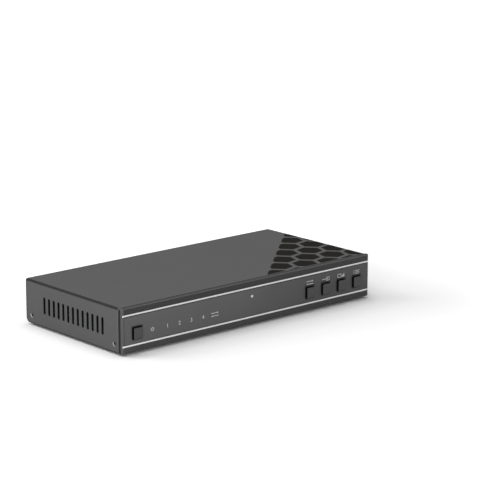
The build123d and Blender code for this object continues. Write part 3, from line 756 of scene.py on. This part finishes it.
def anodised_panel():
    material, shader, place = new_finish("anodised_panel", {"Specular IOR Level": 0.25})
    brush = place.noise(lumps=2600, detail=4, stretch=(0.012, 1.0, 1.0))
    mottle = place.noise(lumps=24, detail=3, stretch=(0.3, 1.0, 1.0))
    cutter = place.noise(lumps=5200, detail=2, stretch=(0.02, 1.0, 1.0))
    across, back, up = place.axis("X"), place.axis("Y"), place.axis("Z")
    from_middle = abs(up - panel_middle_z)
    # Below the middle the bright strip runs on past the facet: a painted highlight.
    bright_strip_end = pad_half_height + facet_height + (up < panel_middle_z) * painted_highlight_strip
    facet_and_highlight_strip = from_middle.between(pad_half_height, bright_strip_end) * (back < facet_back_y)
    low_band = up < panel_middle_z - pad_half_height
    ends = abs(across) > film_high.x
    top_front = (up > panel_high.z - edge_reach) * (back < facet_back_y + edge_reach)
    joint_shade = (back > panel_high.y - seam_reach) * (up < panel_high.z - edge_reach)
    skin = (brush * 0.6 + mottle * 0.4).blend(deep_anodised, pale_anodised)
    # Painted light: the ends and the low band are paler.
    skin = ends.blend(low_band.blend(skin, low_band_painted_light), end_painted_highlight)
    # Painted highlight on the top front edge, and painted shade at the joint with the cover.
    skin = joint_shade.blend(top_front.blend(skin, top_edge_painted_highlight), joint_painted_shade)
    feed(shader, "Base Color", facet_and_highlight_strip.blend(skin, cut_and_painted_highlight))
    feed(shader, "Metallic", 0.35 + facet_and_highlight_strip * 0.05 - low_band * 0.28)
    feed(shader, "Roughness", 0.42 + brush * 0.14 - facet_and_highlight_strip * (0.26 - cutter * 0.12))
    emboss(shader, brush, 0.012 * mm)
    return material


paint(anodised_panel(), "front_panel")

# Front film: thin polycarbonate, printed dark grey on its back and stuck to the pad.
# Painted shade deepens the grey to the right, and lies as a dark rim along the long edges and over
# each key. The satin face has a very fine orange peel.

film_half_height = (film_high.z - film_low.z) / 2
rim = 0.3 * mm
above_key = 0.7 * mm
above_power_key = 0.3 * mm
lit_end_x = -10.0 * mm
shaded_end_x = 60.0 * mm
pale_film_and_painted_light = shade(0.100)
deep_film_and_painted_shade = shade(0.066)
rim_painted_shade = shade(0.012)
caps = ["power_button"] + [f"function_button_{number}" for number in range(1, 5)]


def satin_film():
    material, shader, place = new_finish("satin_film", {"Specular IOR Level": 0.3})
    peel = place.noise(lumps=1100, detail=2)
    cloud = place.noise(lumps=18, detail=2)
    across, up = place.axis("X"), place.axis("Z")
    # Painted shade: a dark rim along the long edges and over each key.
    rim_shade = abs(up - panel_middle_z) > film_half_height - rim
    for cap in caps:
        low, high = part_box(cap)
        over = above_power_key if cap == "power_button" else above_key
        rim_shade = rim_shade + across.between(low.x, high.x) * up.between(low.z, high.z + over)
    # Painted shade that deepens towards the right.
    shade_to_right = across.ramp(lit_end_x, shaded_end_x)
    grey = (cloud * 0.25 + shade_to_right * 0.75).blend(pale_film_and_painted_light, deep_film_and_painted_shade)
    feed(shader, "Base Color", rim_shade.clamped().blend(grey, rim_painted_shade))
    feed(shader, "Roughness", 0.36 + peel * 0.1 + cloud * 0.06)
    emboss(shader, peel, 0.012 * mm)
    return material


paint(satin_film(), "front_film")

# Printed marks on the film: white ink, screened on as a thin raised layer. A power sign, the digits
# 1 to 4 and a change-over sign sit over the lamps, and each key on the right has its own small sign
# above it. Plain fractions in the signs are shares of a sign's own width, height or radius.

ink_proud = 0.02 * mm
ink_sunk = 0.03 * mm
ink_depth = ink_proud + ink_sunk
film_front_y = film_low.y
stroke = 0.38 * mm
passing_tip = 0.7 * mm
gate_tip = 0.72 * mm
same_point = 0.0005 * mm
fewest_steps = 8
degrees_a_step = 9
facing_front = (math.pi / 2, 0.0, 0.0)


def bar(centre, size, turn=0.0):
    """A flat inked bar in the drawing plane."""
    place = (centre[0], centre[1], 0)
    bpy.ops.mesh.primitive_cube_add(size=1, location=place, rotation=(0, 0, turn))
    piece = added("bar")
    piece.scale = (size[0], size[1], ink_depth)
    bpy.ops.object.transform_apply(location=True, rotation=True, scale=True)
    return piece


def bow(centre, radius, start, sweep):
    """A curved stroke: a short end face spun round a centre, in degrees."""
    begin = math.radians(start)
    place = (centre[0] + radius * math.cos(begin), centre[1] + radius * math.sin(begin), 0)
    bpy.ops.mesh.primitive_plane_add(size=1, location=place, rotation=(math.pi / 2, 0, begin))
    piece = added("bow")
    piece.scale = (stroke, ink_depth, 1)
    bpy.ops.object.transform_apply(location=True, rotation=True, scale=True)
    bpy.ops.object.mode_set(mode="EDIT")
    bpy.ops.mesh.select_all(action="SELECT")
    steps = max(fewest_steps, round(sweep / degrees_a_step))
    middle = (centre[0], centre[1], 0)
    bpy.ops.mesh.spin(steps=steps, angle=-math.radians(sweep), center=middle, axis=(0, 0, 1))
    bpy.ops.object.mode_set(mode="OBJECT")
    return piece


def tip(centre, radius, heading):
    """A small solid arrowhead that points along a heading in degrees."""
    bpy.ops.mesh.primitive_cylinder_add(
        vertices=3,
        radius=radius,
        depth=ink_depth,
        location=(centre[0], centre[1], 0),
        rotation=(0, 0, math.radians(heading - 90)),
    )
    piece = added("tip")
    bpy.ops.object.transform_apply(location=True, rotation=True)
    return piece


def digit(text, height):
    """A plain figure, of a given height, in the drawing plane."""
    bpy.ops.object.text_add(location=(0, 0, 0))
    piece = added("digit")
    piece.data.body = text
    piece.data.align_x = "CENTER"
    piece.data.align_y = "CENTER"
    piece.data.extrude = ink_depth / 2
    bpy.ops.object.convert(target="MESH")
    piece = bpy.context.active_object
    growth = height / piece.dimensions.y
    piece.scale = (growth, growth, 1)
    bpy.ops.object.transform_apply(scale=True)
    only(piece)
    bpy.ops.object.origin_set(type="ORIGIN_GEOMETRY", center="BOUNDS")
    piece.location = (0, 0, 0)
    return piece


def printed(name, pieces, place, turn, ink):
    """Join the strokes of one mark, stand it up on its face and ink it."""
    mark = joined(name, pieces)
    mark.rotation_euler = turn
    mark.location = place
    bpy.ops.object.mode_set(mode="EDIT")
    bpy.ops.mesh.select_all(action="SELECT")
    bpy.ops.mesh.remove_doubles(threshold=same_point)
    bpy.ops.object.mode_set(mode="OBJECT")
    settle(mark)
    return finished(mark, "enclosure", ink)


def screen_ink(name, value):
    material, shader, place = new_finish(name, {"Specular IOR Level": 0.35})
    mesh_print = place.noise(lumps=3000, detail=2)
    feed(shader, "Base Color", mesh_print.blend(shade(value * 0.86), shade(value * 1.08)))
    feed(shader, "Roughness", 0.5 + mesh_print * 0.2)
    emboss(shader, mesh_print, 0.01 * mm)
    return material


def power_sign(radius):
    """A ring that is open at its top, with an upright bar in the gap."""
    ring = bow((0, 0), radius, start=128, sweep=284)
    return [ring, bar((0, 0.72 * radius), (stroke, 1.15 * radius))]


def change_over_sign(width, height):
    """Two arrows that pass each other."""
    strokes = []
    for way, heading in ((1, 0), (-1, 180)):
        strokes.append(bar((-0.1 * way * width, way * height / 2), (0.8 * width, stroke)))
        strokes.append(tip((0.36 * way * width, way * height / 2), passing_tip, heading))
    return strokes


def entry_sign(width, height):
    """An arrow that enters an open frame."""
    frame_width = 0.42 * width
    frame_x = width / 2 - frame_width / 2
    return [
        bar((-0.16 * width, 0), (0.62 * width, stroke)),
        tip((0.2 * width, 0), gate_tip, 0),
        bar((frame_x, height / 2), (frame_width, stroke)),
        bar((frame_x, -height / 2), (frame_width, stroke)),
        bar((width / 2, 0), (stroke, height + stroke)),
    ]


def rising_bars(left, width, height):
    """Four upright bars, each taller than the one before."""
    strokes = []
    for step in range(4):
        rise = height * (0.4 + 0.2 * step)
        x = left + (step + 0.5) * width / 4
        strokes.append(bar((x, (rise - height) / 2), (0.16 * width, rise + stroke)))
    return strokes


def picture_and_sound_sign(width, height):
    """A small screen outline beside bars of rising height."""
    screen = 0.5 * width
    left = -width / 2
    strokes = [
        bar((left + screen / 2, height / 2), (screen, stroke)),
        bar((left + screen / 2, -height / 2), (screen, stroke)),
        bar((left, 0), (stroke, height + stroke)),
        bar((left + screen, 0), (stroke, height + stroke)),
    ]
    return strokes + rising_bars(left + screen + 0.08 * width, 0.42 * width, height)


def list_sign(width, height):
    """Three rows, each a dot and a line."""
    strokes = []
    for row in (-1, 0, 1):
        strokes.append(bar((0.14 * width, row * height / 2), (0.72 * width, stroke)))
        strokes.append(bar((-0.42 * width, row * height / 2), (0.12 * width, stroke)))
    return strokes


white_ink = screen_ink("white_ink", value=0.62)
mark_y = film_front_y + ink_sunk - ink_depth / 2
lamp_row_z = 14.2 * mm
power_x = -85.6 * mm
first_digit_x = -73.1 * mm
digit_pitch = 10.05 * mm
digit_height = 2.5 * mm
power_strokes = power_sign(radius=1.15 * mm)
printed("power_mark", power_strokes, (power_x, mark_y, lamp_row_z), facing_front, white_ink)
for number in range(4):
    figure = digit(str(number + 1), digit_height)
    place = (first_digit_x + number * digit_pitch, mark_y, lamp_row_z)
    printed(f"digit_mark_{number + 1}", [figure], place, facing_front, white_ink)
change_strokes = change_over_sign(width=6.6 * mm, height=2.0 * mm)
change_place = (first_digit_x + 4 * digit_pitch, mark_y, lamp_row_z)
printed("change_over_mark", change_strokes, change_place, facing_front, white_ink)

key_sign_z = 20.9 * mm
key_signs = [
    change_over_sign(width=6.4 * mm, height=2.0 * mm),
    entry_sign(width=6.8 * mm, height=2.2 * mm),
    picture_and_sound_sign(width=6.4 * mm, height=2.2 * mm),
    list_sign(width=5.6 * mm, height=2.2 * mm),
]
for number, strokes in enumerate(key_signs, start=1):
    cap_low, cap_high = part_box(f"function_button_{number}")
    place = ((cap_low.x + cap_high.x) / 2, mark_y, key_sign_z)
    printed(f"key_mark_{number}", strokes, place, facing_front, white_ink)

# Key caps: five moulded caps that stand proud of the film on their switches. The face is spark
# eroded to match the film. The sides are smoother, and painted shade makes them near black, so
# each key looks outlined.

face_depth = 0.22 * mm
face_soft = 0.05 * mm
cap_face_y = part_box("power_button")[0].y
cap_side_painted_shade = shade(0.003)
cap_face_grey = shade(0.051)


def key_plastic():
    material, shader, place = new_finish("key_plastic", {"Specular IOR Level": 0.4})
    spark = place.noise(lumps=3400, detail=2)
    face_end = cap_face_y + face_depth
    face = place.axis("Y").ramp(face_end + face_soft, face_end - face_soft)
    # Painted shade: near black on the sides, behind the face.
    feed(shader, "Base Color", face.blend(cap_side_painted_shade, cap_face_grey))
    feed(shader, "Roughness", 0.3 + face * 0.14 + spark * 0.1)
    emboss(shader, spark, 0.015 * mm)
    return material


paint(key_plastic(), *caps)

# Sensor lens: the tip of a milky acrylic rod that comes just through the film and passes the remote
# control's light to the receiver.

clear_streak = shade(0.62)
milky_white = shade(0.84)


def milky_acrylic():
    scatter = {"Subsurface Weight": 0.2, "Subsurface Scale": 0.4 * mm}
    constants = {"Specular IOR Level": 0.55, **scatter}
    material, shader, place = new_finish("milky_acrylic", constants)
    cloud = place.noise(lumps=1400, detail=3)
    feed(shader, "Base Color", cloud.blend(clear_streak, milky_white))
    feed(shader, "Roughness", 0.2 + cloud * 0.14)
    emboss(shader, cloud, 0.01 * mm)
    return material


paint(milky_acrylic(), "sensor_lens")

# Top cover: one sheet bent over the top and both sides, with thirteen slots punched in each side.
# It is powder coated a lighter grey than the tray, and held by two screws in each side.

cover_low, cover_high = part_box("top_cover")
cover_grey = 0.094
outer_skin_depth = 0.12 * mm
bend_radius = 1.6 * mm
bend_width = 0.85 * bend_radius
low_shade_reach = 0.75 * mm
front_highlight_reach = 0.8 * mm
rear_reach = 1.2 * mm


def cover_zones(place):
    """Painted shade in slots, on bends and on low and rear edges; a painted highlight in front."""
    from_side = cover_high.x - abs(place.axis("X"))
    from_top = cover_high.z - place.axis("Z")
    inside = (from_side > outer_skin_depth) * (from_top > bend_radius)
    on_bend = (from_side + from_top < bend_width) * (from_top < bend_radius)
    low_edge = place.axis("Z") < cover_low.z + low_shade_reach
    rear_edge = place.axis("Y") > cover_high.y - rear_reach
    # Painted shade on slots, bends, low and rear edges; painted highlight along the front edge.
    painted_shade = inside + on_bend * 0.9 + low_edge * 0.6 + rear_edge * 0.4
    painted_highlight = (place.axis("Y") < cover_low.y + front_highlight_reach) * (1.0 - inside)
    return painted_shade.clamped(), painted_highlight * 0.5


paint(powder_coat("cover_powder_coat", cover_grey, cover_zones), "top_cover")

# Printed pattern on the cover: a honeycomb of satin black ink patches, screened on the front right
# corner. Its rows follow the slant on which the print ends, and the other patches run to the edges.

ink_tint = (1.1, 1.03, 0.88)
deep_ink = shade(0.010, ink_tint)
thin_ink = shade(0.014, ink_tint)


def black_ink():
    material, shader, place = new_finish("black_ink", {"Specular IOR Level": 0.02})
    peel = place.noise(lumps=900, detail=2)
    feed(shader, "Base Color", peel.blend(deep_ink, thin_ink))
    feed(shader, "Roughness", 0.5 + peel * 0.1)
    emboss(shader, peel, 0.01 * mm)
    return material


def block(name, centre, size, turn=0.0):
    """A box to cut with."""
    bpy.ops.mesh.primitive_cube_add(size=1, location=centre, rotation=(0, 0, turn))
    piece = added(name)
    piece.scale = size
    bpy.ops.object.transform_apply(location=True, rotation=True, scale=True)
    return piece


def carved(piece, tool, operation):
    """Cut a piece with another one, or keep what they share. The tool is used up."""
    only(piece)
    cut = piece.modifiers.new("cut", "BOOLEAN")
    cut.object = tool
    cut.operation = operation
    cut.solver = "EXACT"
    bpy.ops.object.modifier_apply(modifier=cut.name)
    bpy.data.objects.remove(tool)


patch_pitch = 19.0 * mm
patch_gap = 3.2 * mm
patch_radius = (patch_pitch - patch_gap) / 2 / math.cos(math.pi / 6)
row_step = patch_pitch * math.sin(math.pi / 3)
row_count = 5
column_count = 9
row_start = 0.38
column_start = 0.3
side_clear = 1.3 * mm
front_clear = 0.5 * mm
print_z = cover_high.z - ink_sunk + ink_depth / 2
slant_start = Vector((17.7 * mm, cover_low.y + front_clear, print_z))
slant_end = Vector((cover_high.x - side_clear, 34.1 * mm, print_z))
along = (slant_end - slant_start).normalized()
into = Vector((along.y, -along.x, 0))
slant = math.atan2(along.y, along.x)
patches = []
for row in range(row_count):
    for column in range(-column_count, column_count):
        shift = (column + column_start + (row % 2) / 2) * patch_pitch
        bpy.ops.mesh.primitive_cylinder_add(
            vertices=6,
            radius=patch_radius,
            depth=ink_depth,
            location=slant_start + along * shift + into * (row + row_start) * row_step,
            rotation=(0, 0, slant),
        )
        patches.append(added("patch"))
        bpy.ops.object.transform_apply(location=True, rotation=True)
pattern = joined("corner_pattern", patches)
reach = cover_high.x - cover_low.x
top_middle = Vector((cover_high.x - side_clear - reach / 2, slant_start.y + reach / 2, print_z))
carved(pattern, block("top_area", top_middle, (reach, reach, reach)), "INTERSECT")
beside = slant_start + into * reach / 2
carved(pattern, block("slant_area", beside, (2 * reach, reach, reach), slant), "INTERSECT")
settle(pattern)
finished(pattern, "enclosure", black_ink())

# Cover screws: four countersunk machine screws in blackened steel, two on each side, driven flush
# with the sheet. Each head has a cross recess for the driver, with painted shade in it and a
# painted glint on the rim's low rear side.

screw_low, screw_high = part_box("cover_screws")
head_radius = 2.0 * mm
shank_radius = 1.25 * mm
head_depth = head_radius - shank_radius
shank_length = 3.7 * mm
recess_arm = 0.5 * mm
recess_span = 2.3 * mm
recess_depth = 1.1 * mm
shade_radius = 1.15 * mm
glint_inner_radius = 0.9 * mm
glint_start = 0.75 * mm
recess_turn = 28.0
recess_taper = 0.35
screw_rounding = 0.06 * mm
recess_painted_shade = shade(0.004)
oiled_steel = shade(0.05)
dry_steel = shade(0.16)
painted_glint_steel = shade(0.42)


def blackened_steel():
    """Black steel, with painted shade in the recess and a painted glint on the low rear side of the
    rim.
    """
    material, shader, place = new_finish("blackened_steel", {"Metallic": 0.85})
    grain = place.noise(lumps=2400, detail=3)
    front_y = screw_low.y + head_radius
    span = screw_high.y - screw_low.y - 2 * head_radius
    rearward = place.axis("Y") - front_y - (place.axis("Y") > 0.0) * span
    upward = place.axis("Z") - (screw_low.z + screw_high.z) / 2
    out = far_out(rearward, upward)
    low_rear = rearward * 0.8 - upward * 0.6
    # Painted glint on the rim's low rear side, and painted shade over the recess.
    glint = (out > glint_inner_radius) * low_rear.between(glint_start, head_radius)
    steel = (out < shade_radius).blend(grain.blend(oiled_steel, dry_steel), recess_painted_shade)
    feed(shader, "Base Color", glint.blend(steel, painted_glint_steel))
    feed(shader, "Roughness", 0.28 + grain * 0.16)
    emboss(shader, grain, 0.02 * mm)
    return material


bpy.ops.object.select_all(action="DESELECT")
bpy.ops.mesh.primitive_cone_add(
    vertices=48,
    radius1=shank_radius,
    radius2=head_radius,
    depth=head_depth,
    location=(0, 0, -head_depth / 2),
)
screw_pattern = added("screw_pattern")
bpy.ops.object.transform_apply(location=True)
bpy.ops.object.mode_set(mode="EDIT")
pick_faces(screw_pattern, lambda centre, normal: normal.z < -straight_on)
bpy.ops.mesh.extrude_region_move(TRANSFORM_OT_translate={"value": (0, 0, -shank_length)})
bpy.ops.object.mode_set(mode="OBJECT")
for turn in (recess_turn, recess_turn + 90):
    arm_size = (recess_span, recess_arm, 2 * recess_depth)
    arm = block("arm", (0, 0, 0), arm_size, math.radians(turn))
    bpy.ops.object.mode_set(mode="EDIT")
    pick_faces(arm, lambda centre, normal: normal.z < -straight_on)
    bpy.ops.transform.resize(value=(recess_taper, recess_taper, 1))
    bpy.ops.object.mode_set(mode="OBJECT")
    carved(screw_pattern, arm, "DIFFERENCE")
soften(screw_pattern, screw_rounding)
black_steel = blackened_steel()
for side, x, turn in (("left", screw_low.x, -math.pi / 2), ("right", screw_high.x, math.pi / 2)):
    for end, y in (("front", screw_low.y + head_radius), ("rear", screw_high.y - head_radius)):
        place = (x, y, (screw_low.z + screw_high.z) / 2)
        screw = copied(screw_pattern, f"cover_screw_{end}_{side}", place, (0, turn, 0))
        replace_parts(finished(screw, "enclosure", black_steel), "cover_screws")
bpy.data.objects.remove(screw_pattern)

# Rear marks: pale grey ink on the tray's rear wall. The inputs are numbered, the output has an
# arrow that leaves a frame, and the power and audio sockets have plain signs.


def exit_sign(width, height):
    """An arrow that leaves an open frame."""
    frame_width = 0.42 * width
    frame_x = -width / 2 + frame_width / 2
    return [
        bar((0.04 * width, 0), (0.56 * width, stroke)),
        tip((0.4 * width, 0), gate_tip, 0),
        bar((frame_x, height / 2), (frame_width, stroke)),
        bar((frame_x, -height / 2), (frame_width, stroke)),
        bar((-width / 2, 0), (stroke, height + stroke)),
    ]


def direct_current_sign(width, height):
    """A long line over three short ones."""
    short = 0.24 * width
    strokes = [bar((0, height / 2), (width, stroke))]
    for place in (-1, 0, 1):
        strokes.append(bar((place * (width - short) / 2, -height / 2), (short, stroke)))
    return strokes


facing_rear = (math.pi / 2, 0.0, math.pi)
rear_wall_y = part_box("bottom_chassis")[1].y
rear_mark_y = rear_wall_y - ink_sunk + ink_depth / 2
rear_digit_height = 2.6 * mm
mark_above = 3.4 * mm
grey_ink = screen_ink("grey_ink", value=0.5)
rear_signs = {
    "power_inlet": direct_current_sign(width=4.2 * mm, height=1.2 * mm),
    "audio_socket": rising_bars(left=-2.0 * mm, width=4.0 * mm, height=2.4 * mm),
    "video_output": exit_sign(width=6.8 * mm, height=2.2 * mm),
}
for number in range(1, 5):
    rear_signs[f"video_input_{number}"] = [digit(str(number), rear_digit_height)]
for socket, strokes in rear_signs.items():
    low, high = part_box(socket)
    place = ((low.x + high.x) / 2, rear_mark_y, high.z + mark_above)
    printed(f"{socket}_mark", strokes, place, facing_rear, grey_ink)

# Floor: a plain white sweep that keeps the box's own soft shadow. Beyond that, what the camera
# sees of it goes over to an even paper white, and the box is lit by its plain pale colour.


def seen_directly(signal, *ways):
    """1 for what the camera sees in the given ways, and 0 for light that only falls on things."""
    rays = [signal.node("ShaderNodeLightPath", output=f"Is {way} Ray") for way in ways]
    return sum(rays).clamped()


floor_size = 60
half_width, half_depth = cad_box[1][0], cad_box[1][1]
lit_paper = shade(0.8)
seen_paper = shade(0.96)
shadow_kept = 40.0 * mm
shadow_gone = 160.0 * mm


def studio_paper():
    """Pale paper that goes over to white, for the camera, by how far it lies from the box."""
    constants = {"Roughness": 0.9, "Specular IOR Level": 0.1, "Emission Strength": 1.0}
    material, shader, place = new_finish("studio_paper", constants)
    seen = seen_directly(place, "Camera", "Glossy", "Transmission")
    beside = place.maths("MAXIMUM", abs(place.axis("X")) - half_width, 0.0)
    before = place.maths("MAXIMUM", abs(place.axis("Y")) - half_depth, 0.0)
    rise = far_out(beside, before).ramp(shadow_kept, shadow_gone)
    glow = seen * rise * rise
    feed(shader, "Base Color", seen.blend(lit_paper, seen_paper))
    feed(shader, "Emission Color", glow.blend(shade(0.0), shade(1.0)))
    return material


bpy.ops.object.select_all(action="DESELECT")
bpy.ops.mesh.primitive_plane_add(size=floor_size, location=(0, 0, 0))
floor = added("floor")
floor.data.materials.append(studio_paper())

# Light: an even room that the camera sees as white, two broad lamps behind and over the box that
# throw its soft shadow forwards, a low fill for the upright faces on the left, and a dim card at
# the front right that lights up the panel's facets.

box_middle = (0, 0, 0.02)
floor_middle = (0, 0, 0)


def lamp(name, place, size, watts, aim=box_middle):
    """A soft rectangular lamp that faces its aim. All lengths are in metres."""
    light = bpy.data.lights.new(name, "AREA")
    light.shape = "RECTANGLE"
    light.size, light.size_y = size
    light.energy = watts
    made = bpy.data.objects.new(name, light)
    bpy.context.collection.objects.link(made)
    made.location = place
    made.rotation_euler = (Vector(aim) - Vector(place)).to_track_quat("-Z", "Y").to_euler()


world = bpy.data.worlds.new("white_room")
bpy.context.scene.world = world
world.use_nodes = True
room = world.node_tree.nodes["Background"]
room.inputs["Color"].default_value = shade(1.0)
room_strength = 0.325
white_to_camera = seen_directly(Signal(world.node_tree), "Camera", "Transmission")
feed(room, "Strength", white_to_camera * (1.0 - room_strength) + room_strength)
lamp("back_left_lamp", place=(-0.9, 1.0, 1.1), size=(0.9, 0.9), watts=11.3, aim=floor_middle)
lamp("overhead_lamp", place=(0.0, 0.2, 1.6), size=(1.0, 1.0), watts=13.1)
lamp("front_left_fill", place=(-0.486, -0.411, 0.131), size=(0.3, 0.19), watts=1.4)
lamp("front_right_card", place=(1.1, -1.14, 0.66), size=(1.0, 0.8), watts=0.47)

# Camera: a long lens, a little above the box and round to its left, as the object is seen. It aims
# past the box, which stands to the left of the picture's middle and below it.

camera_azimuth = math.radians(-41.25)
camera_elevation = math.radians(13.57)
camera_distance = 1573.5 * mm
camera_aim = Vector((151.9 * mm, 133.1 * mm, 1.5 * mm))
camera_data = bpy.data.cameras.new("camera")
camera_data.sensor_width = 36.0
camera_data.lens = 149.8
camera_data.clip_end = 100.0
camera = bpy.data.objects.new("camera", camera_data)
bpy.context.collection.objects.link(camera)
camera_back = Vector(
    (
        math.sin(camera_azimuth) * math.cos(camera_elevation),
        -math.cos(camera_azimuth) * math.cos(camera_elevation),
        math.sin(camera_elevation),
    )
)
camera.location = camera_aim + camera_back * camera_distance
camera.rotation_euler = (math.pi / 2 - camera_elevation, 0.0, camera_azimuth)
bpy.context.scene.camera = camera
bpy.context.scene.view_settings.view_transform = "Standard"
